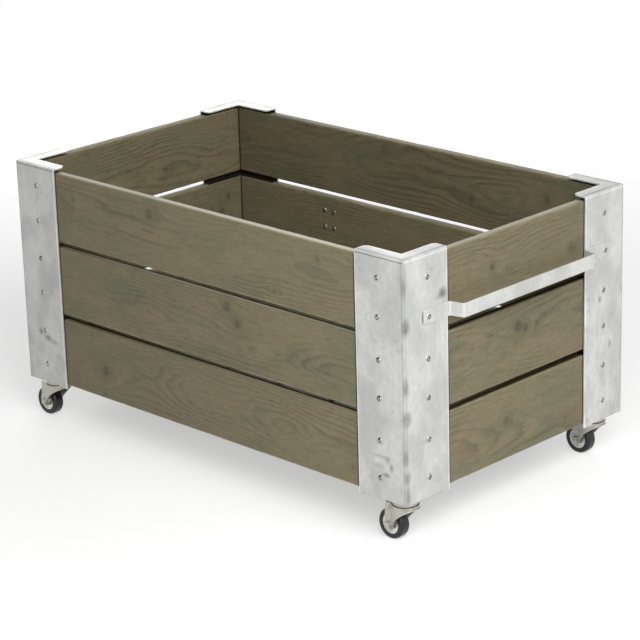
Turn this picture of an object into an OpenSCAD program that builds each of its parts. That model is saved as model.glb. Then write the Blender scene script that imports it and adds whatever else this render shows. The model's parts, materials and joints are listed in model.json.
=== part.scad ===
// Rolling planter: an open-topped box of three rows of planed boards, held at its corners by
// four folded and galvanised sheet brackets, with a flat-bar pull handle on its right-hand end
// and a swivel castor under each bracket.
//
// Seen from above, +X is the end with the handle, -Y is the front and +Z is up. The origin is
// on the ground, under the centre of the whole planter. All lengths are in millimetres.

/* [Box] */
// Length over the corner brackets
box_l = 886; // [600:1:1400]
// Width over the corner brackets
box_w = 526; // [360:1:900]
// Height of one wall board
board_h = 120; // [90:1:160]
// Thickness of the wall boards
board_t = 16; // [16:1:26]
// Open slot between one wall board and the next
board_gap = 9; // [4:1:20]
// Radius of the rounded arrises of all boards
edge_r = 3; // [1:0.5:5]
// Room between a long board's end and the fold of the bracket
end_clear = 0.5; // [0.5:0.5:5]
// Room between an end board and the long board beside it
joint_gap = 2; // [0.5:0.5:5]
// Room between the lowest boards and the brackets' feet
foot_clear = 2; // [0.5:0.5:6]
// Room between the top boards and the brackets' top flanges
rim_clear = 3; // [0.5:0.5:8]

/* [Corner brackets] */
// Width of each leg of a bracket
leg_w = 98; // [84:1:140]
// Thickness of the sheet
sheet_t = 3; // [2:0.5:4]
// Inside radius of the folds
fold_r = 1; // [0.5:0.5:2]
// Width of the flange over the boards' top edges
flange_w = 26; // [24:1:34]
// Radius of the flange's free corners
flange_corner_r = 8; // [2:1:14]
// How far the foot reaches inwards past the castor's king bolt
foot_margin = 44; // [20:1:48]
// Radius of the foot's free corner
foot_corner_r = 16; // [4:1:24]

/* [Screws] */
// Distance of the screws from the bracket's outer corner
screw_in = 52; // [40:1:64]
// Distance between the two screws of one board
screw_pitch = 61.4; // [40:0.2:76]
// Radius of the wood screws' shanks
screw_r = 2; // [1.5:0.25:3]
// Radius of the pan heads
head_r = 4.5; // [4:0.25:6]
// Height of the pan heads
head_h = 2.2; // [1.6:0.1:3]
// Wood left beyond the point of a screw
screw_cover = 3; // [2:0.5:6]
// Distance of the wall screws' pattern from the left-hand end
wall_screws_x = 244; // [150:1:400]
// Width of the wall screws' pattern
wall_screws_w = 22; // [14:1:60]
// Height of the wall screws' pattern
wall_screws_h = 31; // [14:1:60]
// Height of the wall screws' pattern above the centre of its board
wall_screws_up = 17.5; // [-20:0.5:20]

/* [Pull handle] */
// Height of the flat bar
handle_h = 22; // [16:1:32]
// Thickness of the flat bar
handle_t = 3; // [2:0.5:5]
// How far the bar's outer face stands out from the brackets
handle_out = 27; // [22:1:60]
// How far each leg of the handle leans inwards
handle_lean = 5; // [2:0.5:20]
// Inside radius of the handle's bends
handle_bend_r = 3; // [2:0.5:5]
// Radius of the corners of the handle's tabs
tab_corner_r = 4; // [1:0.5:8]
// Length of the tab beyond its screw
tab_margin = 10; // [8:1:20]
// Screw row that holds the handle, counted up from the lowest
handle_row = 4; // [1, 2, 3, 4]

/* [Castors] */
// Height of a castor, from the ground to the bracket's foot
castor_h = 75; // [72:1:90]
// Radius of the wheel
wheel_r = 25; // [22:0.5:27]
// Width of the wheel
wheel_w = 19; // [14:1:22]
// Radius of the tyre's rounded shoulders
shoulder_r = 4; // [2:0.5:6]
// Radius of the wheel's metal hub
hub_r = 16.5; // [14:0.5:18]
// Distance of the wheel's axle behind the king bolt
trail = 24; // [22:0.5:30]
// Thickness of the fork's sheet
fork_t = 2.2; // [1.6:0.1:2.8]
// Radius of the fork's ends round the axle
fork_end_r = 9.5; // [8:0.5:11]
// Height of the neck that holds a castor clear of the bracket's foot
neck_h = 5; // [3:0.5:6]
// Radius of the disc over the swivel's balls
cap_r = 20; // [19:0.5:24]
// Thickness of that disc
cap_t = 2; // [1.5:0.25:3]
// Radius of a ball of the swivel
ball_r = 2.5; // [2:0.1:2.6]
// Number of balls in one swivel
ball_count = 14; // [8:1:15]
// Radius of the king bolt's shank
king_r = 5; // [4:0.5:5.5]
// Room between the king bolt's washer and the wall board beside it
king_clear = 5; // [1:0.5:8]
// Radius of the axle bolt's shank
axle_r = 3; // [2.5:0.25:4]

/* [Floor] */
// Thickness of the two bearers under the floor
bearer_t = 20; // [16:1:40]
// Height of the bearers
bearer_h = 40; // [30:1:60]
// Screws in each bearer
bearer_screw_count = 5; // [3:1:7]
// Distance of a bearer's first screw from its end
bearer_screw_in = 99; // [60:1:160]
// Thickness of the floor slats
slat_t = 18; // [14:1:24]
// Width of one floor slat
slat_w = 112; // [90:1:116]
// Least room between two floor slats
slat_least_gap = 4; // [2:1:12]
// Room between the end of a floor slat and the wall
slat_clear = 2; // [1:0.5:6]
// Distance between the two screws in one end of a slat
slat_screw_pitch = 72; // [40:1:80]
// Depth that the floor screws reach into the bearers
slat_screw_bite = 17; // [12:1:26]

/* [Hidden] */
$fn = 48;
// A cut reaches this far past the face that it opens
over = 1;

// Fits
thread_clear = 0.05;
hole_clear = 0.3;
swivel_clear = 0.06;
axle_clear = 0.08;
tyre_clear = 0.05;
ball_clear = 0.1;
side_clear = 0.3;

// Walls and brackets
CORNERS = [
    ["front_left", -1, -1],
    ["front_right", 1, -1],
    ["back_left", -1, 1],
    ["back_right", 1, 1]
];
LONG_SIDES = [["front", -1], ["back", 1]];
END_SIDES = [["left", -1], ["right", 1]];
LEVELS = ["bottom", "middle", "top"];
top_level = len(LEVELS) - 1;
wall_x = box_l / 2 - sheet_t;
wall_y = box_w / 2 - sheet_t;
long_board_l = 2 * (wall_x - fold_r - end_clear);
end_board_l = 2 * (wall_y - board_t - joint_gap);
lowest_board_z = sheet_t + fold_r + foot_clear;
level_step = board_h + board_gap;
bracket_h = lowest_board_z + top_level * level_step + board_h + rim_clear + fold_r + sheet_t;

// Screws: two rows in each board
rows = [for (level = [0 : top_level], half = [-1, 1]) board_z(level) + board_h / 2 + half * screw_pitch / 2];
pilot_r = screw_r + thread_clear;
point_l = 2.5 * screw_r;
head_edge_h = 0.9;
dome_h = head_h - head_edge_h;
dome_r = (head_r * head_r + dome_h * dome_h) / (2 * dome_h);
recess_l = 1.15 * head_r;
recess_w = 0.24 * head_r;
recess_d = 1.2;
bracket_screw_l = sheet_t + board_t - screw_cover;
wall_screw_l = board_t - screw_cover;
wall_screws_level = 1;
wall_screws_z = board_z(wall_screws_level) + board_h / 2 + wall_screws_up;

// Pull handle: its centre line, from the tab on the front bracket to the one on the back bracket
handle_z = rows[handle_row];
handle_bend = handle_bend_r + handle_t / 2;
bend_steps = 8;
tab_y = box_w / 2 - screw_in + tab_margin;
handle_foot_y = box_w / 2 - leg_w - 1 - handle_t / 2;
handle_bar_y = handle_foot_y - handle_lean;
handle_bar_x = handle_out - handle_t / 2;
handle_path = [
    [handle_t / 2, -tab_y],
    [handle_t / 2, -handle_foot_y],
    [handle_bar_x, -handle_bar_y],
    [handle_bar_x, handle_bar_y],
    [handle_t / 2, handle_foot_y],
    [handle_t / 2, tab_y]
];

// King bolt: its washer and nut stand clear of the wall boards
king_af = 3.4 * king_r;
king_head_h = 1.28 * king_r;
king_nut_h = 1.6 * king_r;
washer_r = 2 * king_r;
washer_t = 2;
king_in = sheet_t + board_t + king_clear + washer_r;
king_top = sheet_t + washer_t + king_nut_h + 2;
foot_w = king_in + foot_margin;

// Swivel: the rivet holds the fork up against the balls under the cap
rivet_r = king_r + 2;
rivet_flange_r = rivet_r + 3;
rivet_flange_t = 1.6;
cap_lip_t = 1.6;
cap_lip_h = 4.4;
neck_r = rivet_r + 5;
cap_bottom = -neck_h - cap_t;
ball_ring_r = rivet_r + 6;
ball_z = cap_bottom - ball_clear - ball_r;
roof_top = ball_z - ball_r - ball_clear;
roof_bottom = roof_top - fork_t;
rivet_bottom = roof_bottom - side_clear - rivet_flange_t;

// Fork and wheel
axle_z = wheel_r - castor_h;
channel_in = wheel_w / 2 + 1.6;
channel_out = channel_in + fork_t;
cup_r = cap_r + 2;
fork_back = trail + fork_end_r;
leg_back = fork_back - 1;
roof_back = fork_back - 4;
lip_w = 1.6;
lip_out = 1.2;
fork_front = cup_r + lip_out + over;
// The fork's underside follows a circle: its centre is this far ahead of the axle and below the ground
sweep_ahead = 77;
sweep_below = 13;
sweep_c = [sweep_ahead - trail, -castor_h - sweep_below];
sweep_bite = 0.4;
sweep_r = norm(sweep_c - [-trail, axle_z]) - fork_end_r + sweep_bite;
axle_af = 10 / 3 * axle_r;
axle_head_h = 4 / 3 * axle_r;
axle_nut_h = 5 / 3 * axle_r;
boss_r = axle_r + 2.5;
rim_half = wheel_w / 2 - 1;
rim_w = 3.4;
groove_w = 0.9;
rim_step = 1;
groove_d = 0.8;

// Floor
bearer_l = 2 * (wall_x - board_t - 1);
bearer_y = wall_y - board_t - bearer_t;
bearer_z = king_top + 3;
bearer_screw_l = bearer_t + board_t - screw_cover;
bearer_screw_z = bearer_z + 0.35 * bearer_h;
bearer_screw_step = (bearer_l - 2 * bearer_screw_in) / (bearer_screw_count - 1);
slat_z = bearer_z + bearer_h;
floor_l = 2 * (wall_x - board_t);
slat_count = floor((floor_l - slat_least_gap) / (slat_w + slat_least_gap));
slat_gap = (floor_l - slat_count * slat_w) / (slat_count + 1);
slat_l = 2 * (wall_y - board_t - slat_clear);
slat_screw_y = bearer_y + bearer_t / 2;

// Place of the box: the handle's bar and the trailing wheels are its furthest points
reach_right = box_l / 2 + handle_out;
reach_left = max(box_l / 2 + head_h, box_l / 2 - king_in + trail + wheel_r);
shift_x = (reach_left - reach_right) / 2;

WOOD = [0.42, 0.38, 0.31];
FLOOR_WOOD = [0.36, 0.33, 0.27];
GALVANISED = [0.78, 0.79, 0.80];
ZINC = [0.70, 0.71, 0.72];
RUBBER = [0.08, 0.08, 0.09];

// Height of the lower edge of the boards in one level
function board_z(level) = lowest_board_z + level * level_step;

// Angle of a step from one point of a path to the next, and the directions along it and to its left
function bearing(a, b) = atan2(b[1] - a[1], b[0] - a[0]);
function ahead(angle) = [cos(angle), sin(angle)];
function leftwards(angle) = [-sin(angle), cos(angle)];

// An angle brought between -180 and 180 degrees
function wrapped(a) = a - 360 * round(a / 360);

// A list from its last item to its first
function backwards(items) = [for (i = [len(items) - 1 : -1 : 0]) items[i]];

// The points round one bend of a strip's side, which runs this far to the left of the centre line
function bend_side(before, corner, after, bend_r, left) =
    let (
        start = bearing(before, corner),
        turn = wrapped(bearing(corner, after) - start),
        reach = sign(turn) * bend_r,
        centre = corner - bend_r * tan(abs(turn) / 2) * ahead(start) + reach * leftwards(start)
    )
    [for (step = [0 : bend_steps]) centre + (left - reach) * leftwards(start + turn * step / bend_steps)];

// A whole side of such a strip
function strip_side(path, bend_r, left) =
    let (last = len(path) - 1)
    [
        path[0] + left * leftwards(bearing(path[0], path[1])),
        for (i = [1 : last - 1]) each bend_side(path[i - 1], path[i], path[i + 1], bend_r, left),
        path[last] + left * leftwards(bearing(path[last - 1], path[last]))
    ];

// A profile followed by its own mirror image below the first axis
function mirrored(points) = concat(points, [for (p = backwards(points)) [p[0], -p[1]]]);

// Lifts the box onto its castors, over the origin
module in_place() {
    translate([shift_x, 0, castor_h]) children();
}

// Puts the corner's outer edge at the origin, with both legs of its bracket along +X and +Y
module inward(c) {
    translate([c[1] * box_l / 2, c[2] * box_w / 2, 0])
        mirror([c[1] > 0 ? 1 : 0, 0, 0])
            mirror([0, c[2] > 0 ? 1 : 0, 0])
                children();
}

// Puts a castor's king bolt on the Z axis. All four castors trail the same way.
module at_castor(c) {
    translate([c[1] * (box_l / 2 - king_in), c[2] * (box_w / 2 - king_in), 0]) children();
}

// Places of the bracket screws of one row, on a long side and on an end, heads outwards
module at_side_screw(c, row) {
    inward(c) translate([screw_in, 0, rows[row]]) rotate([90, 0, 0]) children();
}

module at_end_screw(c, row) {
    inward(c) translate([0, screw_in, rows[row]]) rotate([0, -90, 0]) children();
}

// Places of the screws that are seen on the inside of the back wall
module at_wall_screws() {
    for (x = [-1, 1], z = [-1, 1])
        translate([
            wall_screws_x - box_l / 2 + x * wall_screws_w / 2,
            wall_y - board_t,
            wall_screws_z + z * wall_screws_h / 2
        ])
            rotate([90, 0, 0]) children();
}

// Places of the screws through a bearer into the wall, heads inwards
module at_bearer_screws(side_y) {
    for (i = [0 : bearer_screw_count - 1]) {
        x = -bearer_l / 2 + bearer_screw_in + i * bearer_screw_step;
        translate([x, side_y * bearer_y, bearer_screw_z]) rotate([side_y * 90, 0, 0]) children();
    }
}

// Places of the screws through one slat into both bearers, heads upwards
module at_slat_screws(i) {
    for (x = [-1, 1], y = [-1, 1])
        translate([slat_x(i) + x * slat_screw_pitch / 2, y * slat_screw_y, slat_z + slat_t]) children();
}

// Centre of one floor slat, counted from the left
function slat_x(i) = -floor_l / 2 + slat_gap + slat_w / 2 + (i - 1) * (slat_w + slat_gap);

// A rectangle from the origin with four rounded corners
module rounded_rect(w, h, r) {
    translate([r, 0]) square([w - 2 * r, h]);
    translate([0, r]) square([w, h - 2 * r]);
    for (x = [r, w - r], y = [r, h - r]) translate([x, y]) circle(r);
}

// What is cut off a square corner at the origin, with the material on its -X and -Y sides
module corner_cut(r) {
    difference() {
        translate([-r, -r]) square(r + over);
        translate([-r, -r]) circle(r);
    }
}

// A planed board along X or along Y, centred on that axis, with rounded arrises
module board_along_x(l, t, h) {
    translate([-l / 2, 0, 0]) rotate([90, 0, 90]) linear_extrude(l) rounded_rect(t, h, edge_r);
}

module board_along_y(l, t, h) {
    translate([0, l / 2, 0]) rotate([90, 0, 0]) linear_extrude(l) rounded_rect(t, h, edge_r);
}

// A screw's pilot hole, as deep as the screw is long
module pilot(l) {
    translate([0, 0, -l - hole_clear]) cylinder(r = pilot_r, h = l + hole_clear + over);
}

// A wood screw with a cross recess, its head above the origin and its point below
module wood_screw(l) {
    difference() {
        rotate_extrude() {
            intersection() {
                square([head_r, head_h]);
                translate([0, head_h - dome_r]) circle(dome_r);
            }
            polygon([[0, -l], [screw_r, point_l - l], [screw_r, 0], [0, 0]]);
        }
        for (a = [45, 135])
            rotate(a)
                translate([-recess_l / 2, -recess_w / 2, head_h - recess_d])
                    cube([recess_l, recess_w, recess_d + over]);
    }
}

// A hexagon across the flats, with its upper corners chamfered
module hex_prism(af, h) {
    intersection() {
        cylinder(r = af / 2 / cos(30), h = h, $fn = 6);
        rotate_extrude() polygon([[0, 0], [af, 0], [af, h - af / 2 * tan(30)], [af / 2, h], [0, h]]);
    }
}

// A board of the front or the back wall
module long_board(side_y, level) {
    screw_corners = [for (c = CORNERS) if (c[2] == side_y) c];
    color(WOOD) in_place() difference() {
        translate([0, side_y * (wall_y - board_t / 2) - board_t / 2, board_z(level)])
            board_along_x(long_board_l, board_t, board_h);
        for (c = screw_corners, row = [2 * level, 2 * level + 1])
            at_side_screw(c, row) pilot(bracket_screw_l);
        if (side_y > 0 && level == wall_screws_level) at_wall_screws() pilot(wall_screw_l);
        if (level == 0) at_bearer_screws(side_y) pilot(bearer_screw_l);
    }
}

// A board of the left or the right end
module end_board(side_x, level) {
    screw_corners = [for (c = CORNERS) if (c[1] == side_x) c];
    color(WOOD) in_place() difference() {
        translate([side_x * (wall_x - board_t / 2) - board_t / 2, 0, board_z(level)])
            board_along_y(end_board_l, board_t, board_h);
        for (c = screw_corners, row = [2 * level, 2 * level + 1])
            at_end_screw(c, row) pilot(bracket_screw_l);
    }
}

// The space inside a bracket's sheet when inset is its thickness, or its whole block when it is 0
module bracket_block(inset, r, reach) {
    side = reach - inset;
    height = bracket_h - 2 * inset;
    intersection() {
        translate([inset, inset, inset]) linear_extrude(height) difference() {
            square(side);
            rotate(180) corner_cut(r);
        }
        translate([inset, reach, inset])
            rotate([90, 0, 0]) linear_extrude(side) fold_profile(side, height, r);
        translate([inset, inset, inset])
            rotate([90, 0, 90]) linear_extrude(side) fold_profile(side, height, r);
    }
}

// Side view of a bracket, with the folds of its foot and its top flange
module fold_profile(w, h, r) {
    difference() {
        square([w, h]);
        rotate(180) corner_cut(r);
        translate([0, h]) rotate(90) corner_cut(r);
    }
}

// What is open in the bracket's top: all but a flange along each leg
module flange_opening() {
    translate([flange_w, flange_w]) square(leg_w);
    translate([leg_w, flange_w]) corner_cut(flange_corner_r);
    translate([flange_w, leg_w]) corner_cut(flange_corner_r);
}

// What is open in the bracket's bottom: all but the square foot
module foot_opening() {
    translate([sheet_t, foot_w]) square([leg_w, leg_w]);
    translate([foot_w, sheet_t]) square([leg_w, leg_w]);
    translate([foot_w, foot_w]) corner_cut(foot_corner_r);
}

// A folded sheet bracket round one corner of the box
module corner_bracket(c) {
    color(GALVANISED) in_place() difference() {
        inward(c) {
            difference() {
                bracket_block(0, fold_r + sheet_t, leg_w);
                bracket_block(sheet_t, fold_r, leg_w + over);
                translate([0, 0, bracket_h - sheet_t - over])
                    linear_extrude(sheet_t + 2 * over) flange_opening();
                translate([0, 0, -over])
                    linear_extrude(sheet_t + fold_r + over) foot_opening();
                translate([king_in, king_in, -over])
                    cylinder(r = king_r + hole_clear, h = sheet_t + 2 * over);
            }
            translate([foot_w, 0, 0]) cube([leg_w - foot_w, sheet_t, sheet_t + fold_r]);
            translate([0, foot_w, 0]) cube([sheet_t, leg_w - foot_w, sheet_t + fold_r]);
        }
        for (row = [0 : len(rows) - 1]) {
            at_side_screw(c, row) sheet_hole();
            at_end_screw(c, row) sheet_hole();
        }
    }
}

// A screw's clearance hole through a bracket's sheet
module sheet_hole() {
    translate([0, 0, -sheet_t - over]) cylinder(r = screw_r + hole_clear, h = sheet_t + 2 * over);
}

// All screws through the brackets. Two of them also hold the handle's tabs.
module bracket_screws() {
    color(ZINC) in_place() for (c = CORNERS, row = [0 : len(rows) - 1]) {
        on_tab = c[1] > 0 && row == handle_row;
        at_side_screw(c, row) wood_screw(bracket_screw_l);
        at_end_screw(c, row) translate([0, 0, on_tab ? handle_t : 0]) wood_screw(bracket_screw_l);
    }
}

// The four screws in the inside of the back wall
module wall_screws() {
    color(ZINC) in_place() at_wall_screws() wood_screw(wall_screw_l);
}

// A flat strip along a path, with round bends
module strip(path, t, bend_r) {
    polygon(concat(strip_side(path, bend_r, -t / 2), backwards(strip_side(path, bend_r, t / 2))));
}

// The flat-bar handle, screwed onto the two brackets of the right-hand end
module pull_handle() {
    color(GALVANISED) in_place() difference() {
        translate([box_l / 2, 0, handle_z]) intersection() {
            translate([0, 0, -handle_h / 2])
                linear_extrude(handle_h) strip(handle_path, handle_t, handle_bend);
            translate([-over, -tab_y, -handle_h / 2])
                rotate([90, 0, 90])
                    linear_extrude(handle_out + 2 * over)
                        rounded_rect(2 * tab_y, handle_h, tab_corner_r);
        }
        for (c = CORNERS) if (c[1] > 0)
            at_end_screw(c, handle_row) translate([0, 0, -over])
                cylinder(r = screw_r + hole_clear, h = handle_t + 2 * over);
    }
}

// A timber along the bottom of a long wall, which carries the floor
module bearer(side_y) {
    color(FLOOR_WOOD) in_place() difference() {
        translate([0, side_y * (bearer_y + bearer_t / 2) - bearer_t / 2, bearer_z])
            board_along_x(bearer_l, bearer_t, bearer_h);
        at_bearer_screws(side_y) pilot(bearer_screw_l);
        for (i = [1 : slat_count]) at_slat_screws(i) pilot(slat_t + slat_screw_bite);
    }
}

// A board of the floor, across the planter
module floor_slat(i) {
    color(FLOOR_WOOD) in_place() difference() {
        translate([slat_x(i) - slat_w / 2, 0, slat_z]) board_along_y(slat_l, slat_w, slat_t);
        at_slat_screws(i) pilot(slat_t + slat_screw_bite);
    }
}

// The screws that hold the bearers on the walls
module bearer_screws() {
    color(ZINC) in_place() for (side = LONG_SIDES) at_bearer_screws(side[1]) wood_screw(bearer_screw_l);
}

// The screws that hold the slats on the bearers
module floor_screws() {
    color(ZINC) in_place() for (i = [1 : slat_count]) at_slat_screws(i) wood_screw(slat_t + slat_screw_bite);
}

// The lipped disc that covers a swivel's balls, on a neck below the bracket's foot
module castor_cap(c) {
    lip_in = cap_r - cap_lip_t;
    color(ZINC) in_place() at_castor(c) rotate_extrude() polygon([
        [rivet_r + thread_clear, 0],
        [neck_r, 0],
        [neck_r, -neck_h],
        [cap_r, -neck_h],
        [cap_r, cap_bottom - cap_lip_h],
        [lip_in, cap_bottom - cap_lip_h],
        [lip_in, cap_bottom],
        [rivet_r + thread_clear, cap_bottom]
    ]);
}

// The rings of balls between the caps and the forks
module ball_races() {
    color(ZINC) in_place() for (c = CORNERS, i = [0 : ball_count - 1])
        at_castor(c) rotate(i * 360 / ball_count) translate([ball_ring_r, 0, ball_z]) sphere(ball_r);
}

// The hollow rivets that the forks turn on
module king_rivets() {
    bore_r = king_r + 2 * thread_clear;
    color(ZINC) in_place() for (c = CORNERS) at_castor(c) rotate_extrude() polygon([
        [bore_r, 0],
        [rivet_r, 0],
        [rivet_r, rivet_bottom + rivet_flange_t],
        [rivet_flange_r, rivet_bottom + rivet_flange_t],
        [rivet_flange_r, rivet_bottom],
        [bore_r, rivet_bottom]
    ]);
}

// The bolts that hold the castors on the brackets' feet
module king_bolts() {
    color(ZINC) in_place() for (c = CORNERS) at_castor(c) {
        translate([0, 0, rivet_bottom]) mirror([0, 0, 1]) hex_prism(king_af, king_head_h);
        translate([0, 0, rivet_bottom - over]) cylinder(r = king_r, h = king_top - rivet_bottom + over);
    }
}

// The washers between the feet and the king bolts' nuts
module king_washers() {
    color(ZINC) in_place() for (c = CORNERS) at_castor(c) translate([0, 0, sheet_t]) difference() {
        cylinder(r = washer_r, h = washer_t);
        translate([0, 0, -over]) cylinder(r = king_r + hole_clear, h = washer_t + 2 * over);
    }
}

// The nuts on the king bolts
module king_nuts() {
    color(ZINC) in_place() for (c = CORNERS) at_castor(c) translate([0, 0, sheet_t + washer_t]) difference() {
        hex_prism(king_af, king_nut_h);
        translate([0, 0, -over]) cylinder(r = king_r + thread_clear, h = king_nut_h + 2 * over);
    }
}

// A fork from above: a round cup with a channel behind it
module fork_plan(grow, back) {
    half = channel_out + grow;
    circle(cup_r + grow);
    translate([-back, -half]) square([back, 2 * half]);
}

// The side view of a fork above the line from the sweep's centre to the axle
module fork_side_block() {
    polygon([
        [-roof_back, roof_top],
        [fork_front, roof_top],
        sweep_c,
        [-trail, axle_z],
        [-leg_back, axle_z]
    ]);
}

// A fork from the side: it sweeps down and back from the cup's rim to the axle
module fork_side() {
    difference() {
        union() {
            fork_side_block();
            translate([-trail, axle_z]) circle(fork_end_r);
        }
        translate(sweep_c) circle(sweep_r);
    }
}

// The turned-out lip along that sweep, from the side
module fork_lip_side() {
    intersection() {
        fork_side_block();
        translate(sweep_c) difference() {
            circle(sweep_r + lip_w);
            circle(sweep_r);
        }
    }
}

// A solid that has one outline from above and another from the side
module plan_and_side(grow) {
    depth = castor_h;
    intersection() {
        translate([0, 0, -depth]) linear_extrude(depth) fork_plan(grow, fork_back + grow);
        translate([0, 2 * cup_r, 0]) rotate([90, 0, 0]) linear_extrude(4 * cup_r) children();
    }
}

// A castor's pressed fork, open below and behind
module fork(c) {
    depth = castor_h;
    color(ZINC) in_place() at_castor(c) difference() {
        union() {
            plan_and_side(0) fork_side();
            plan_and_side(lip_out) fork_lip_side();
        }
        translate([0, 0, roof_bottom - depth]) linear_extrude(depth) fork_plan(-fork_t, 2 * fork_back);
        translate([0, 0, roof_bottom - over]) cylinder(r = rivet_r + swivel_clear, h = fork_t + 2 * over);
        translate([-trail, cup_r, axle_z])
            rotate([90, 0, 0]) cylinder(r = axle_r + thread_clear, h = 2 * cup_r);
    }
}

// The bolt that a wheel turns on, its head on the front side of the fork
module axle_bolt(c) {
    shank_l = 2 * channel_out + axle_nut_h + 1.5;
    color(ZINC) in_place() at_castor(c) translate([-trail, -channel_out, axle_z]) {
        rotate([90, 0, 0]) hex_prism(axle_af, axle_head_h);
        translate([0, shank_l, 0]) rotate([90, 0, 0]) cylinder(r = axle_r, h = shank_l + over);
    }
}

// The nut on the back side of the fork
module axle_nut(c) {
    color(ZINC) in_place() at_castor(c) translate([-trail, channel_out, axle_z])
        rotate([-90, 0, 0]) difference() {
            hex_prism(axle_af, axle_nut_h);
            translate([0, 0, -over]) cylinder(r = axle_r + thread_clear, h = axle_nut_h + 2 * over);
        }
}

// The section of a tyre: a rectangle with rounded shoulders, down to the hub
module tyre_section() {
    bore_r = hub_r + tyre_clear;
    difference() {
        translate([0, -wheel_w / 2]) square([wheel_r, wheel_w]);
        translate([wheel_r, wheel_w / 2]) corner_cut(shoulder_r);
        translate([wheel_r, -wheel_w / 2]) mirror([0, 1]) corner_cut(shoulder_r);
        translate([-over, -wheel_w]) square([bore_r + over, 2 * wheel_w]);
    }
}

// A wheel's rubber tyre
module tyre(c) {
    color(RUBBER) in_place() at_castor(c) translate([-trail, 0, axle_z])
        rotate([90, 0, 0]) rotate_extrude() tyre_section();
}

// A wheel's turned hub: a boss, a disc, a groove and a rim
module hub(c) {
    bore_r = axle_r + axle_clear;
    groove_out = hub_r - rim_w;
    groove_in = groove_out - groove_w;
    boss_half = channel_in - side_clear;
    disc_half = rim_half - rim_step;
    color(ZINC) in_place() at_castor(c) translate([-trail, 0, axle_z]) rotate([90, 0, 0]) rotate_extrude()
        polygon(mirrored([
            [bore_r, boss_half],
            [boss_r, boss_half],
            [boss_r, disc_half],
            [groove_in, disc_half],
            [groove_in, disc_half - groove_d],
            [groove_out, disc_half - groove_d],
            [groove_out, rim_half],
            [hub_r, rim_half]
        ]));
}

for (c = CORNERS) corner_bracket(c);
for (side = LONG_SIDES, level = [0 : top_level])
    long_board(side[1], level);
for (side = END_SIDES, level = [0 : top_level])
    end_board(side[1], level);
bracket_screws();
wall_screws();
pull_handle();
for (side = LONG_SIDES) bearer(side[1]);
for (i = [1 : slat_count]) floor_slat(i);
bearer_screws();
floor_screws();
for (c = CORNERS) castor_cap(c);
ball_races();
king_rivets();
king_bolts();
king_washers();
king_nuts();
for (c = CORNERS) fork(c);
for (c = CORNERS) axle_bolt(c);
for (c = CORNERS) axle_nut(c);
for (c = CORNERS) tyre(c);
for (c = CORNERS) hub(c);
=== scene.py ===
import json
import math
import random

import bmesh
import bpy
import numpy as np
from mathutils import Matrix, Vector, noise

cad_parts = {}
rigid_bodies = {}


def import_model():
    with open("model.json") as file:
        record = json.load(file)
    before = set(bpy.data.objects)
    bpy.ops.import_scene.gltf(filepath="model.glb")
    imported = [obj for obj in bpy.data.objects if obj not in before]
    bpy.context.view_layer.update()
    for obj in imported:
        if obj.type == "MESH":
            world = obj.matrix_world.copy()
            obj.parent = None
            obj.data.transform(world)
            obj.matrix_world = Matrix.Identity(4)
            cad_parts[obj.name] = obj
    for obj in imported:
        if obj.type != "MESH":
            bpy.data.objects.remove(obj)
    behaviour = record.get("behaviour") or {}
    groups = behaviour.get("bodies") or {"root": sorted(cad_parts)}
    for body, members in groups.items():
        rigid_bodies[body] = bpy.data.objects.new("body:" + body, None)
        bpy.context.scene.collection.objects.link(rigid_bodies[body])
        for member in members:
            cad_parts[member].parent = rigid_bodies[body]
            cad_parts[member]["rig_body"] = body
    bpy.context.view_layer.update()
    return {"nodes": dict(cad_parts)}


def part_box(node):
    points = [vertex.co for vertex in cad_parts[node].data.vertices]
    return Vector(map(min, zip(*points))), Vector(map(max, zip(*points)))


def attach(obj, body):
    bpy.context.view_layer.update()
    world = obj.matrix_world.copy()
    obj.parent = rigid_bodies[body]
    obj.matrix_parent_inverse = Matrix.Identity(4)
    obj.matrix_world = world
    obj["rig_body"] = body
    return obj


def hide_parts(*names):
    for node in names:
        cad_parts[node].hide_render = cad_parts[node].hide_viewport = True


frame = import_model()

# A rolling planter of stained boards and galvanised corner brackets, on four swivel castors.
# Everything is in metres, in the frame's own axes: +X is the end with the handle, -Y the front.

MM = 0.001

CORNERS = ("front_left", "front_right", "back_left", "back_right")
LEVELS = ("bottom", "middle", "top")


def linear(level):
    """A channel of the screen, from 0 to 255, as an amount of light."""
    part = level / 255
    return part / 12.92 if part <= 0.04045 else ((part + 0.055) / 1.055) ** 2.4


def srgb(red, green, blue):
    """A colour of the screen, from 0 to 255, as linear RGBA."""
    return (linear(red), linear(green), linear(blue), 1.0)


# ---------------------------------------------------------------- node trees


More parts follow.
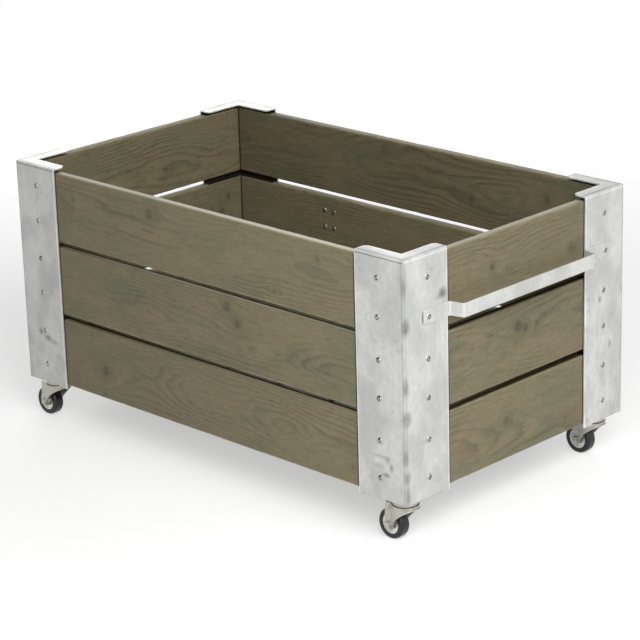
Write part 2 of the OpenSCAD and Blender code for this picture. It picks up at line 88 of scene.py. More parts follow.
class Graph:
    """The node tree of one material, with a short call for each kind of node in it."""

    def __init__(self, name):
        self.material = bpy.data.materials.new(name)
        self.material.use_nodes = True
        self.tree = self.material.node_tree
        self.shader = self.tree.nodes["Principled BSDF"]
        self.place = self.add("ShaderNodeTexCoord").outputs["Object"]

    def add(self, kind, **settings):
        node = self.tree.nodes.new(kind)
        for name, value in settings.items():
            setattr(node, name, value)
        return node

    def feed(self, socket, value):
        """Links a socket to another node's output, or sets its own value."""
        if isinstance(value, bpy.types.NodeSocket):
            self.tree.links.new(value, socket)
        else:
            socket.default_value = value

    def math(self, operation, *values):
        node = self.add("ShaderNodeMath", operation=operation)
        for socket, value in zip(node.inputs, values):
            self.feed(socket, value)
        return node.outputs[0]

    def total(self, values):
        result = values[0]
        for value in values[1:]:
            result = self.math("ADD", result, value)
        return result

    def vector(self, operation, a, b):
        node = self.add("ShaderNodeVectorMath", operation=operation)
        self.feed(node.inputs[0], a)
        self.feed(node.inputs[1], b)
        return node.outputs[0]

    def combine(self, x, y, z):
        node = self.add("ShaderNodeCombineXYZ")
        for socket, value in zip(node.inputs, (x, y, z)):
            self.feed(socket, value)
        return node.outputs[0]

    def separate(self, vector):
        node = self.add("ShaderNodeSeparateXYZ")
        self.feed(node.inputs[0], vector)
        return node.outputs

    def span(self, value, low, high, start=0.0, end=1.0):
        """start below low, end above high, and a smooth step between them."""
        node = self.add("ShaderNodeMapRange", interpolation_type="SMOOTHSTEP")
        for socket, number in zip(node.inputs, (value, low, high, start, end)):
            self.feed(socket, number)
        return node.outputs[0]

    def noise(self, vector, detail=2.0, rough=0.5, twist=0.0):
        node = self.add("ShaderNodeTexNoise")
        self.feed(node.inputs["Vector"], vector)
        self.feed(node.inputs["Scale"], 1.0)
        self.feed(node.inputs["Detail"], detail)
        self.feed(node.inputs["Roughness"], rough)
        self.feed(node.inputs["Distortion"], twist)
        return node.outputs["Fac"]

    def mix(self, factor, a, b, blend="MIX"):
        node = self.add("ShaderNodeMix", data_type="RGBA", blend_type=blend, clamp_factor=True)
        self.feed(node.inputs[0], factor)
        self.feed(node.inputs[6], a)
        self.feed(node.inputs[7], b)
        return node.outputs[2]

    def shade(self, colour, amount):
        """The colour times 1 + amount."""
        level = self.math("ADD", amount, 1.0)
        return self.mix(1.0, colour, self.combine(level, level, level), "MULTIPLY")

    def attribute(self, name):
        return self.add("ShaderNodeAttribute", attribute_name=name).outputs["Fac"]

    def bump(self, height, distance, strength=1.0):
        node = self.add("ShaderNodeBump")
        self.feed(node.inputs["Height"], height)
        self.feed(node.inputs["Distance"], distance)
        self.feed(node.inputs["Strength"], strength)
        self.feed(self.shader.inputs["Normal"], node.outputs[0])

    def surface(self, **inputs):
        for name, value in inputs.items():
            self.feed(self.shader.inputs[name.replace("_", " ")], value)
        return self.material


# ---------------------------------------------------------------- wood

STAIN_BROWN = srgb(114, 104, 80)
STAIN_GREEN = srgb(103, 102, 78)
STAIN_PINK = srgb(117, 107, 83)
STAIN_DARK = srgb(70, 64, 47)
KNOT_BROWN = srgb(58, 50, 36)
# Dark for the knots' cracks, and for painted shade beside the brackets and in the corners
CRACK_AND_SHADE_DARK = srgb(22, 20, 15)
# Pale grey painted on a board's top edge as a highlight
TOP_HIGHLIGHT_GREY = srgb(168, 164, 146)

# In millimetres
RING_PITCH = 4.6
PITH_DEEP, PITH_UP = (45, 85), 35
TOP_FROM, TOP_TO = 1.6, 0.5
LEAN_REACH = 400
# Painted shade lines: beside a bracket's edge, in the corner, and hidden behind a bracket's step
BRACKET_SHADE_LINE = (0.8, 4.0)
CORNER_SHADE_LINE = (0.5, 2.2)
STEP_HIDES = 2.6

KNOT_LENGTHENING = 0.45
# How much each part of the figure lightens the stain
RING_SHADE, FIBRE_SHADE, FUZZ_SHADE = -0.3, 0.8, 0.5
FLECK_SHADE, PORE_SHADE, SLOT_SHADE = -0.28, -0.2, -0.8
WOOD_SHINE = 0.32


def board_point(g, centre, along_y):
    """A place on a board in millimetres from its centre: along its grain, through it and up it."""
    offset = g.vector("SUBTRACT", g.place, centre)
    x, y, z = g.separate(g.vector("MULTIPLY", offset, (1 / MM,) * 3))
    return (y, x, z) if along_y else (x, y, z)


def grain_round_knots(g, along, up, knots):
    """The height on the board, drawn aside so that the grain flows round each knot."""
    pulls = []
    for knot_along, knot_up, radius, _ in knots:
        x = g.math("MULTIPLY", g.math("SUBTRACT", along, knot_along), KNOT_LENGTHENING)
        y = g.math("SUBTRACT", up, knot_up)
        reach = g.math("MULTIPLY_ADD", x, x, g.math("MULTIPLY_ADD", y, y, 0.5 * radius * radius))
        pulls.append(g.math("DIVIDE", g.math("MULTIPLY", y, 1.7 * radius * radius), reach))
    return g.math("SUBTRACT", up, g.total(pulls)) if pulls else up


def knot_masks(g, along, up, wobble, knots):
    """How far a place is inside a knot, in the halo round one, and on its rings and cracks."""
    inside, halo, cracks = [], [], []
    for knot_along, knot_up, radius, strength in knots:
        x = g.math("SUBTRACT", along, knot_along)
        y = g.math("SUBTRACT", up, knot_up)
        flat = g.math("SQRT", g.math("MULTIPLY_ADD", x, x, g.math("MULTIPLY", y, y)))
        away = g.math("ADD", g.math("DIVIDE", flat, radius), g.math("MULTIPLY", wobble, 0.5))
        core = g.span(away, 0.75, 1.05, strength, 0.0)
        turn = g.math("SINE", g.math("MULTIPLY", away, 16.0))
        inside.append(g.math("MULTIPLY", core, g.math("MULTIPLY_ADD", turn, 0.22, 0.78)))
        halo.append(g.span(away, 0.9, 3.6, 0.55 * strength, 0.0))
        bend = g.math("MULTIPLY_ADD", wobble, 0.5 * radius, x)
        crack = g.span(g.math("ABSOLUTE", bend), 0.2, 0.9, strength, 0.0)
        cracks.append(g.math("MULTIPLY", crack, g.span(flat, 0.5 * radius, 1.1 * radius, 1.0, 0.0)))
    return g.total(inside), g.total(halo), g.total(cracks)


class Look:
    """How light a board is, and how its top edge and its arrises differ from its faces.

    The tone is partly painted light. The rim is the share of pale grey painted on the top edge as a
    highlight. The arris values, above and below, are how much lighter the arrises are: partly worn,
    partly a painted highlight. The shadow is the share of the top edge, from the inner face
    outwards, that is dark under the next board. The lean is how much lighter the board's +X or
    +Y end is than its middle, a painted falloff of the light."""

    def __init__(self, tone, rim=0.0, wear_above=0.34, wear_and_highlight_below=0.34, shadow=0.0, lean=0.0):
        self.tone, self.rim = tone, rim
        self.wear_above, self.wear_and_highlight_below = wear_above, wear_and_highlight_below
        self.shadow, self.lean = shadow, lean


class PaintedSeamShade:
    """Painted shade on a wall board, as dark lines beside each bracket's edge and in the corners
    inside.

    The far end, +1 or -1, is the one where a bracket's step hides the board beside it from the
    photo's camera. The line reaches further there. It is 0 where the camera sees neither end."""

    def __init__(self, bracket_at, corner_at, thick, outside, far_end):
        self.bracket_at, self.corner_at = bracket_at, corner_at
        self.thick, self.outside, self.far_end = thick, outside, far_end

    def from_inner_face(self, g, deep):
        return g.math("MULTIPLY_ADD", deep, self.outside, self.thick / 2)

    def darken(self, g, colour, along, deep):
        from_centre = g.math("ABSOLUTE", along)
        outward = self.from_inner_face(g, deep)
        at_far_end = g.math("GREATER_THAN", g.math("MULTIPLY", along, self.far_end), 0.0)
        from_bracket = g.math("SUBTRACT", self.bracket_at, from_centre)
        from_bracket = g.math("MULTIPLY_ADD", at_far_end, -STEP_HIDES, from_bracket)
        # Painted shade beside the bracket's edge
        beside = g.span(from_bracket, *BRACKET_SHADE_LINE, 0.95, 0.0)
        beside = g.math("MULTIPLY", beside, g.span(outward, 0.3, 1.0))
        colour = g.mix(beside, colour, CRACK_AND_SHADE_DARK)
        # Painted shade in the inner corner
        from_corner = g.math("ABSOLUTE", g.math("SUBTRACT", self.corner_at, from_centre))
        within = g.span(from_corner, *CORNER_SHADE_LINE, 0.8, 0.0)
        within = g.math("MULTIPLY", within, g.span(outward, 0.3, 1.0, 1.0, 0.0))
        return g.mix(within, colour, CRACK_AND_SHADE_DARK)


def planed_wood(name, centre, along_y, seed, look, high, knots, seam_shade):
    """Stained softwood with growth rings, fibres, knots and soft patches of colour, with painted
    highlights on its edges and painted shade in its slots, beside the brackets and in the corners.
    """
    g = Graph(name)
    chance = random.Random(seed)
    along, deep, up = board_point(g, centre, along_y)
    shift = chance.uniform(0, 900)
    pith_deep = chance.choice((-1, 1)) * chance.uniform(*PITH_DEEP)
    pith_up = chance.uniform(-PITH_UP, PITH_UP)

    def grain(length, thick, high, detail=2.0, rough=0.5, twist=0.0, start=0.0):
        """Noise of those sizes in millimetres along, through and up the board."""
        point = g.combine(
            g.math("MULTIPLY_ADD", along, 1 / length, shift + start),
            g.math("MULTIPLY", deep, 1 / thick),
            g.math("MULTIPLY", bent, 1 / high),
        )
        return g.noise(point, detail, rough, twist)

    bent = grain_round_knots(g, along, up, knots)
    sway = g.math("MULTIPLY_ADD", grain(420, 300, 300, 2.0), 70.0, -35.0)
    lean = g.math("MULTIPLY_ADD", grain(300, 300, 300, 1.0, start=31.0), 36.0, -18.0)
    ring_x = g.math("ADD", g.math("SUBTRACT", deep, pith_deep), sway)
    ring_y = g.math("ADD", g.math("SUBTRACT", bent, pith_up), lean)
    squares = g.math("MULTIPLY_ADD", ring_x, ring_x, g.math("MULTIPLY", ring_y, ring_y))
    ring_count = g.math("DIVIDE", g.math("SQRT", squares), RING_PITCH)
    ring_count = g.math("MULTIPLY_ADD", grain(90, 20, 20, 2.0, start=7.0), 1.6, ring_count)
    phase = g.math("FRACT", ring_count)
    late = g.math("MULTIPLY", g.span(phase, 0.35, 0.86), g.span(phase, 0.9, 0.99, 1.0, 0.0))
    fade = g.span(grain(240, 60, 60, 1.0, start=3.0), 0.38, 0.66, 0.12, 1.0)
    rings = g.math("MULTIPLY", late, fade)

    patches = grain(150, 60, 55, 2.5, 0.55, 0.6, start=11.0)
    warmth = grain(110, 60, 48, 2.0, 0.5, 0.4, start=19.0)
    streaks = g.span(grain(130, 4.0, 4.0, 2.0, 0.6, start=23.0), 0.6, 0.8)
    fibres = g.math("SUBTRACT", grain(26, 0.7, 0.7, 3.0, 0.65, start=29.0), 0.5)
    pores = g.span(grain(9, 0.35, 0.35, 1.0, start=37.0), 0.66, 0.78)
    flecks = g.span(grain(26, 2.4, 2.4, 2.0, 0.6, start=53.0), 0.6, 0.72)
    fuzz = g.math("SUBTRACT", grain(11, 5, 5, 4.0, 0.7, 0.3, start=47.0), 0.5)
    wobble = g.math("SUBTRACT", grain(14, 14, 9, 2.0, start=41.0), 0.5)

    colour = g.mix(g.span(patches, 0.4, 0.68), STAIN_BROWN, STAIN_GREEN)
    colour = g.mix(g.span(warmth, 0.45, 0.7), colour, STAIN_PINK)
    colour = g.mix(g.math("MULTIPLY", streaks, 0.4), colour, STAIN_DARK)
    colour = g.shade(colour, g.math("MULTIPLY", rings, RING_SHADE))
    colour = g.shade(colour, g.math("MULTIPLY", fibres, FIBRE_SHADE))
    colour = g.shade(colour, g.math("MULTIPLY", fuzz, FUZZ_SHADE))
    specks = g.math("MULTIPLY_ADD", flecks, FLECK_SHADE, g.math("MULTIPLY", pores, PORE_SHADE))
    colour = g.shade(colour, specks)
    if knots:
        inside, halo, cracks = knot_masks(g, along, up, wobble, knots)
        colour = g.mix(g.math("MULTIPLY", halo, 0.8), colour, STAIN_GREEN)
        colour = g.mix(g.math("MULTIPLY", halo, 0.35), colour, STAIN_DARK)
        colour = g.mix(g.math("MULTIPLY", inside, 0.6), colour, KNOT_BROWN)
        colour = g.mix(g.math("MULTIPLY", cracks, 0.8), colour, CRACK_AND_SHADE_DARK)

    # Lighter arrises: partly worn, partly a painted highlight
    arris_patches = g.span(grain(16, 3, 3, 3.0, 0.6, start=43.0), 0.3, 0.62)
    arris_patches = g.math("MULTIPLY", g.attribute("arris"), arris_patches)
    wear = g.span(up, -0.2 * high, 0.2 * high, look.wear_and_highlight_below, look.wear_above)
    colour = g.shade(colour, g.math("MULTIPLY", arris_patches, wear))
    on_top = g.span(up, high / 2 - TOP_FROM, high / 2 - TOP_TO)
    # Painted highlight: pale grey on the outer part of the top edge
    if look.rim:
        top_highlight = g.math("MULTIPLY", on_top, g.math("MULTIPLY_ADD", fuzz, 0.8 * look.rim, look.rim))
        if seam_shade:
            from_inside = seam_shade.from_inner_face(g, deep)
            outer_half = g.span(from_inside, 0.6 * seam_shade.thick, 0.95 * seam_shade.thick, 1.0, 0.2)
            top_highlight = g.math("MULTIPLY", top_highlight, outer_half)
        colour = g.mix(top_highlight, colour, TOP_HIGHLIGHT_GREY)
    shine = WOOD_SHINE
    if look.shadow:
        reach = look.shadow * seam_shade.thick
        inner = g.span(seam_shade.from_inner_face(g, deep), 0.7 * reach, reach, 1.0, 0.0)
        dark = g.math("MULTIPLY", on_top, inner)
        colour = g.shade(colour, g.math("MULTIPLY", dark, SLOT_SHADE))
        shine = g.math("MULTIPLY_ADD", dark, -WOOD_SHINE, WOOD_SHINE)
    # Painted shade beside the brackets and in the corners inside
    if seam_shade:
        colour = seam_shade.darken(g, colour, along, deep)
    # The board's tone, partly painted light, and the lean, a painted falloff of the light along it
    ends = (look.tone * (1 - look.lean) - 1.0, look.tone * (1 + look.lean) - 1.0)
    colour = g.shade(colour, g.span(along, -LEAN_REACH, LEAN_REACH, *ends))

    gloss = g.math("MULTIPLY_ADD", rings, -0.1, g.math("MULTIPLY_ADD", patches, 0.22, 0.46))
    relief = g.math("MULTIPLY_ADD", fibres, 0.9, g.math("MULTIPLY", pores, -0.4))
    relief = g.math("MULTIPLY_ADD", rings, -0.5, relief)
    g.bump(relief, 0.16 * MM, 0.8)
    return g.surface(Base_Color=colour, Roughness=gloss, Specular_IOR_Level=shine)


ARC_STEPS = 5
ARRIS_R = 3 * MM
ARRIS_FADE = 1.2 * MM
FACE_STEP = 9 * MM
STATION_STEP = 12 * MM
END_BREAK = 0.5 * MM


def board_section(deep, high):
    """A board's section from its centre, anticlockwise: (through, up, how much of an arris)."""
    points = []
    quarters = ((1, 1), (-1, 1), (-1, -1), (1, -1))
    for i, (side_d, side_h) in enumerate(quarters):
        centre = Vector((side_d * (deep / 2 - ARRIS_R), side_h * (high / 2 - ARRIS_R)))
        for step in range(ARC_STEPS + 1):
            turn = step / ARC_STEPS
            angle = math.radians(90 * (i + turn))
            point = centre + ARRIS_R * Vector((math.cos(angle), math.sin(angle)))
            points.append((*point, 0.55 + 0.45 * math.sin(math.pi * turn)))
        length = (deep if i % 2 == 0 else high) - 2 * ARRIS_R
        onward = Vector((-math.sin(angle), math.cos(angle)))
        count = max(1, round(length / FACE_STEP))
        stops = [ARRIS_FADE] + [length * k / count for k in range(1, count)] + [length - ARRIS_FADE]
        points += [(*(point + onward * stop), 0.0) for stop in stops]
    return points


def board_mesh(name, low, high, along_y, seed):
    """A planed board that fills a box, with slightly wavy faces and worn arrises."""
    length, deep = high.x - low.x, high.y - low.y
    if along_y:
        length, deep = deep, length
    centre = (low + high) / 2
    section = board_section(deep, high.z - low.z)
    count = max(2, round(length / STATION_STEP))
    between = [length * k / count for k in range(1, count)]
    stations = [0.0, END_BREAK] + between + [length - END_BREAK, length]
    mesh = bpy.data.meshes.new(name)
    bm = bmesh.new()
    arris_layer = bm.verts.layers.float.new("arris")
    rings = []
    for station in stations:
        along = station - length / 2
        at_end = station in (0.0, length)
        ring = []
        for deep_at, up_at, arris in section:
            inward = Vector((deep_at, up_at)).normalized()
            place = Vector((along, deep_at, up_at)) / MM + Vector((seed * 17.3, 0, 0))
            dip = 0.06 * (1 + noise.noise(place * 0.021)) + 0.05 * (1 + noise.noise(place * 0.16))
            dip += 0.45 * arris * max(0.0, noise.noise(place * 0.05 + Vector((5, 9, 2))))
            dip += 1.6 * arris * max(0.0, noise.noise(place * 0.11) - 0.42)
            spot = Vector((deep_at, up_at)) - inward * (dip * MM + (END_BREAK if at_end else 0.0))
            spot.x = max(-deep / 2, min(deep / 2, spot.x))
            x, y = (spot.x, along) if along_y else (along, spot.x)
            vert = bm.verts.new((centre.x + x, centre.y + y, centre.z + spot.y))
            vert[arris_layer] = max(arris, 0.5) if at_end else arris
            ring.append(vert)
        rings.append(ring)
    for before, after in zip(rings, rings[1:]):
        for i in range(len(section)):
            j = (i + 1) % len(section)
            bm.faces.new((before[i], after[i], after[j], before[j]))
    for ring in (rings[0], rings[-1]):
        bm.faces.new(ring)
    bmesh.ops.recalc_face_normals(bm, faces=bm.faces)
    bm.to_mesh(mesh)
    bm.free()
    mesh.shade_smooth()
    mesh.set_sharp_from_angle(angle=math.radians(32))
    return mesh


def stand_in(name, mesh, material, *nodes):
    """A piece in the scene that stands for those CAD nodes and moves with their body."""
    piece = bpy.data.objects.new(name, mesh)
    bpy.context.scene.collection.objects.link(piece)
    mesh.materials.clear()
    mesh.materials.append(material)
    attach(piece, frame["nodes"][nodes[0]]["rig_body"])
    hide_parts(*nodes)
    return piece


# Knots of the boards that are seen best: (along, up, radius, strength), in millimetres from the
# board's centre
KNOTS = {
    "front_board_top": (
        (265, 34, 5, 0.5),
        (170, -37, 6, 0.5),
        (-113, 33, 10, 0.8),
        (-302, 24, 7, 0.4),
    ),
    "front_board_middle": ((61, 43, 10, 0.75), (84, 19, 9, 0.8)),
    "front_board_bottom": ((-242, -9, 9, 1.0), (330, -30, 5, 0.4)),
    "right_board_top": ((-59, 7, 5, 0.9), (132, -8, 6, 0.5)),
    "right_board_middle": ((2, 24, 11, 1.0), (20, 17, 7, 0.8)),
    "right_board_bottom": ((-28, 3, 9, 0.6), (120, -35, 5, 0.4)),
    "back_board_top": ((-59, 40, 11, 0.5), (137, -13, 7, 0.5), (300, 18, 8, 0.5)),
    "left_board_top": ((-122, 50, 5, 0.5), (60, -20, 8, 0.4)),
}


def chance_knots(seed, length, high):
    """A few small knots for a board whose own aren't known."""
    chance = random.Random(seed * 7 + 1)
    return tuple(
        (
            chance.uniform(-0.45, 0.45) * length,
            chance.uniform(-0.38, 0.38) * high,
            chance.uniform(4, 9),
            chance.uniform(0.4, 0.8),
        )
        for _ in range(chance.randint(1, 3))
    )


def make_board(node, along_y, seed, look, outside=0):
    low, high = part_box(node)
    centre = (low + high) / 2
    axis = 1 if along_y else 0
    length, height = (high[axis] - low[axis]) / MM, (high.z - low.z) / MM
    knots = KNOTS.get(node) or chance_knots(seed, length, height)
    seam_shade = None
    if outside:
        bracket_at = (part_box("bracket_back_right")[0][axis] - centre[axis]) / MM
        crossing = "back_board_top" if along_y else "right_board_top"
        corner_at = (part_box(crossing)[0][axis] - centre[axis]) / MM
        thick = (high[1 - axis] - low[1 - axis]) / MM
        far_end = {"front": 1, "right": -1}.get(node.split("_")[0], 0)
        seam_shade = PaintedSeamShade(bracket_at, corner_at, thick, outside, far_end)
    wood = planed_wood("wood_" + node, centre, along_y, seed, look, height, knots, seam_shade)
    mesh = board_mesh(node + "_planed", low, high, along_y, seed)
    stand_in(node + "_planed", mesh, wood, node)


# The boards of each wall, from the lowest up. The tones are partly each board's own shade and
# partly painted light, set by how much light each wall gets. The rims paint a highlight on the top
# edges, the arris values are partly painted highlights, and the front's lean paints the light's
# falloff along it.
WALL_LOOKS = {
    "front": (
        Look(0.97, 0.0, 0.0, 0.7, shadow=0.6, lean=0.08),
        Look(0.96, 0.0, 0.0, 0.7, shadow=0.5, lean=0.08),
        Look(0.98, 0.8, 0.0, 0.7, lean=0.08),
    ),
    "back": (Look(0.93), Look(0.93), Look(0.74)),
    "left": (Look(0.9), Look(0.88), Look(0.91)),
    "right": (Look(0.98, shadow=1.0), Look(0.92, shadow=1.0), Look(0.9, 0.4)),
}

for wall, (side, looks) in enumerate(WALL_LOOKS.items()):
    for level, level_name in enumerate(LEVELS):
        make_board(
            f"{side}_board_{level_name}",
            along_y=side in ("left", "right"),
            seed=10 * wall + level + 1,
            look=looks[level],
            outside=1 if side in ("back", "right") else -1,
        )

slats = sorted(name for name in frame["nodes"] if name.startswith("floor_slat_"))
for number, slat in enumerate(slats):
    make_board(slat, along_y=True, seed=60 + number, look=Look(0.6 + 0.05 * (number % 3)))
for number, bearer in enumerate(("bearer_front", "bearer_back")):
    make_board(bearer, along_y=False, seed=80 + number, look=Look(0.86))


# ---------------------------------------------------------------- metal and rubber

ZINC_LIGHT = srgb(204, 204, 201)
ZINC_GREY = srgb(186, 187, 184)
# Grey for smudges, and for painted shade round the screws and beside the handle
SMUDGE_AND_SHADE_GREY = srgb(84, 85, 84)
# Painted shade on the inner faces of the brackets
INSIDE_SHADE_DARK = srgb(40, 38, 32)
# Painted shade in the screw heads
SCREW_SHADE_DARK = srgb(20, 20, 20)

# How much each of them lightens the zinc; the edge's is a painted highlight
MOTTLE_SHADE, SPECK_SHADE, STREAK_SHADE, EDGE_HIGHLIGHT = 0.5, -0.09, 0.1, 0.25
STAIN_SHARE = 0.26


def spot(g, point, centre, size, strength):
    """A soft smudge or painted shade round a place, strongest at its middle.

    All are in millimetres.
    """
    off = g.vector("DIVIDE", g.vector("SUBTRACT", point, centre), size)
    away = g.add("ShaderNodeVectorMath", operation="LENGTH")
    g.feed(away.inputs[0], off)
    return g.span(away.outputs["Value"], 0.1, 1.0, strength, 0.0)


# In millimetres: the sheet's folds, its flange, and what shows of its edges
FOLD_OUTER = 4.0
FLANGE_WIDTH = 26.0
EDGE_LINE = (2.6, 1.6)
RIM_LINE = (3.0, 2.0)
CREASE_AT = 5.5
# Painted shade on the upright fold, the flange's crease and its middle, and painted highlights on
# the free edges
UPRIGHT_SHADE, CREASE_SHADE, MIDDLE_SHADE, FREE_EDGE_HIGHLIGHT = -0.2, -0.5, -0.1, 0.28
# Painted light on the flange's fold line: shade on the long side, a highlight on the end
LONG_FOLD_SHADE, END_FOLD_SHADE = -0.6, 0.35


class Sheet:
    """The box of a bracket and the way that its outer corner points, in the frame's axes."""

    def __init__(self, node):
        self.low, self.high = (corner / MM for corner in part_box(node))
        self.towards = (1 if node.endswith("right") else -1, 1 if "back" in node else -1)
        self.leg_width = self.high.x - self.low.x

    def depths(self, g, point):
        """How far a place is from the bracket's two outer faces, its bottom and its top."""
        places = g.separate(point)
        from_low = [g.math("SUBTRACT", places[i], self.low[i]) for i in range(3)]
        from_high = [g.math("SUBTRACT", self.high[i], places[i]) for i in range(3)]
        from_x = (from_high if self.towards[0] > 0 else from_low)[0]
        from_y = (from_high if self.towards[1] > 0 else from_low)[1]
        return from_x, from_y, from_low[2], from_high[2]

    def dress(self, g, point, colour, gloss, painted_top_light):
        """Painted light on the sheet: shade inside and on the upright fold, lines of shade and
        highlight on the flange's folds, and highlights on the free edges.
        """

        def near(value, place, reach):
            off = g.math("ABSOLUTE", g.math("SUBTRACT", value, place))
            return g.span(off, 0.3 * reach, reach, 1.0, 0.0)

        from_x, from_y, from_bottom, from_top = self.depths(g, point)
        # Painted shade on the upright fold, which is also rougher
        squares = g.math("MULTIPLY_ADD", from_x, from_x, g.math("MULTIPLY", from_y, from_y))
        fold = g.span(g.math("SQRT", squares), 0.8 * FOLD_OUTER, 1.5 * FOLD_OUTER, 1.0, 0.0)
        colour = g.shade(colour, g.math("MULTIPLY", fold, UPRIGHT_SHADE))
        gloss = g.math("MULTIPLY_ADD", fold, 0.2, gloss)
        # Painted light or shade on the flange's top
        on_top = g.span(from_top, 0.2, 0.8, 1.0, 0.0)
        colour = g.shade(colour, g.math("MULTIPLY", on_top, painted_top_light))
        # Painted lines along the flange's fold: shade on the long side, a highlight on the end
        on_end = g.span(from_x, 0.2, 0.6, 1.0, 0.0)
        on_long_side = g.span(from_y, 0.2, 0.6, 1.0, 0.0)
        contrast = g.math("MULTIPLY", on_end, END_FOLD_SHADE)
        contrast = g.math("MULTIPLY_ADD", on_long_side, LONG_FOLD_SHADE, contrast)
        colour = g.shade(colour, g.math("MULTIPLY", near(from_top, FOLD_OUTER, 1.2), contrast))
        # Painted shade along the flange's crease and over its middle
        inward = g.math("MINIMUM", from_x, from_y)
        crease = g.math("MULTIPLY", near(inward, CREASE_AT, 2.2), on_top)
        colour = g.shade(colour, g.math("MULTIPLY", crease, CREASE_SHADE))
        middle = g.math("MULTIPLY", g.span(inward, 10, 16, 1.0, 0.0), on_top)
        colour = g.shade(colour, g.math("MULTIPLY", middle, MIDDLE_SHADE))
        # Painted highlights on the legs' free edges and on the flange's inner rim
        widest = g.math("MAXIMUM", from_x, from_y)
        side_edge = g.span(widest, *(self.leg_width - inset for inset in EDGE_LINE))
        rim_edge = g.span(inward, *(FLANGE_WIDTH - inset for inset in RIM_LINE))
        bright = g.math("MAXIMUM", side_edge, g.math("MULTIPLY", rim_edge, on_top))
        colour = g.shade(colour, g.math("MULTIPLY", bright, FREE_EDGE_HIGHLIGHT))
        # Painted shade on the inner faces, behind the boards
        nearest = g.math("MINIMUM", inward, g.math("MINIMUM", from_bottom, from_top))
        return g.mix(g.span(nearest, 2.5, 2.9), colour, INSIDE_SHADE_DARK), gloss


def galvanised(name, tone, seed, smudges_and_shade=(), sheet=None, grain=(3.5, 3.5, 150), painted_top_light=0.0, soil=1.0):
    """Hot-dip galvanised sheet: faint clouds, rolling streaks, specks, smudges and painted shade
    where given, and painted highlights on its edges.

    A bracket has its sheet, whose top is lighter by the share of painted top light. A bracket's
    tone is partly painted light. Soil is the strength of the mottle and the stains."""
    g = Graph(name)
    point = g.vector("MULTIPLY", g.place, (1 / MM,) * 3)
    shift = (seed * 131.0, seed * 57.0, seed * 89.0)

    def pattern(size, detail=2.0, rough=0.5, twist=0.0):
        moved = g.vector("ADD", g.vector("DIVIDE", point, size), shift)
        return g.noise(moved, detail, rough, twist)

    clouds = g.math("SUBTRACT", pattern((55, 55, 75), 2.0, 0.5, 0.2), 0.5)
    mottle = g.math("SUBTRACT", pattern((8, 8, 13), 5.0, 0.66, 0.3), 0.5)
    specks = g.span(pattern((1.9, 1.9, 2.4), 2.0, 0.6), 0.62, 0.74)
    streaks = g.math("SUBTRACT", pattern(grain, 3.0, 0.6), 0.5)
    stains = g.span(pattern((17, 17, 26), 4.0, 0.66, 0.9), 0.56, 0.8)
    colour = g.mix(g.span(clouds, -0.16, 0.16), ZINC_GREY, ZINC_LIGHT)
    colour = g.shade(colour, g.math("MULTIPLY", mottle, MOTTLE_SHADE * soil))
    colour = g.shade(colour, g.math("MULTIPLY", specks, SPECK_SHADE))
    colour = g.shade(colour, g.math("MULTIPLY", streaks, STREAK_SHADE))
    colour = g.mix(g.math("MULTIPLY", stains, STAIN_SHARE * soil), colour, SMUDGE_AND_SHADE_GREY)
    ragged = g.math("MULTIPLY_ADD", mottle, 2.4, 1.0)
    # Smudges, and painted shade round the screws and beside the handle's feet
    for centre, size, strength in smudges_and_shade:
        mark = g.math("MULTIPLY", spot(g, point, centre, size, strength), ragged)
        colour = g.mix(mark, colour, SMUDGE_AND_SHADE_GREY)
    gloss = g.math("MULTIPLY_ADD", mottle, 0.4, g.math("MULTIPLY_ADD", clouds, -0.3, 0.52))
    if sheet:
        colour, gloss = sheet.dress(g, point, colour, gloss, painted_top_light)
    # A painted highlight on the broken edges, and the tone, which for a bracket is partly painted
    # light
    edge = g.attribute("edge")
    colour = g.shade(colour, g.math("MULTIPLY_ADD", edge, EDGE_HIGHLIGHT, tone - 1.0))
    relief = g.math("MULTIPLY_ADD", mottle, 1.0, g.math("MULTIPLY", specks, -0.3))
    g.bump(relief, 0.15 * MM, 0.6)
    return g.surface(Base_Color=colour, Roughness=gloss, Metallic=0.5)


def plated(name, colour, dark, rough, metallic, grain_size):
    """Bright zinc plate or turned steel, with fine grain and a little grime, painted highlights on
    its broken edges, and painted shade on the faces marked for it.
    """
    g = Graph(name)
    point = g.vector("MULTIPLY", g.place, (1 / MM,) * 3)
    grain = g.math("SUBTRACT", g.noise(g.vector("DIVIDE", point, (grain_size,) * 3), 3.0, 0.6), 0.5)
    grime = g.span(g.noise(g.vector("DIVIDE", point, (9, 9, 9)), 3.0, 0.6, 0.8), 0.52, 0.75)
    tint = g.mix(g.math("MULTIPLY", grime, 0.45), colour, dark)
    tint = g.shade(tint, g.math("MULTIPLY", grain, 0.2))
    # A painted highlight on the broken edges
    tint = g.shade(tint, g.math("MULTIPLY", g.attribute("edge"), EDGE_HIGHLIGHT))
    # Painted shade on the faces marked recess: in a screw's recess and on one side of its rim
    tint = g.mix(g.math("MULTIPLY", g.attribute("recess"), 0.93), tint, SCREW_SHADE_DARK)
    g.bump(grain, 0.05 * MM, 0.5)
    gloss = g.math("MULTIPLY_ADD", grime, 0.2, g.math("MULTIPLY_ADD", grain, 0.2, rough))
    return g.surface(Base_Color=tint, Roughness=gloss, Metallic=metallic)


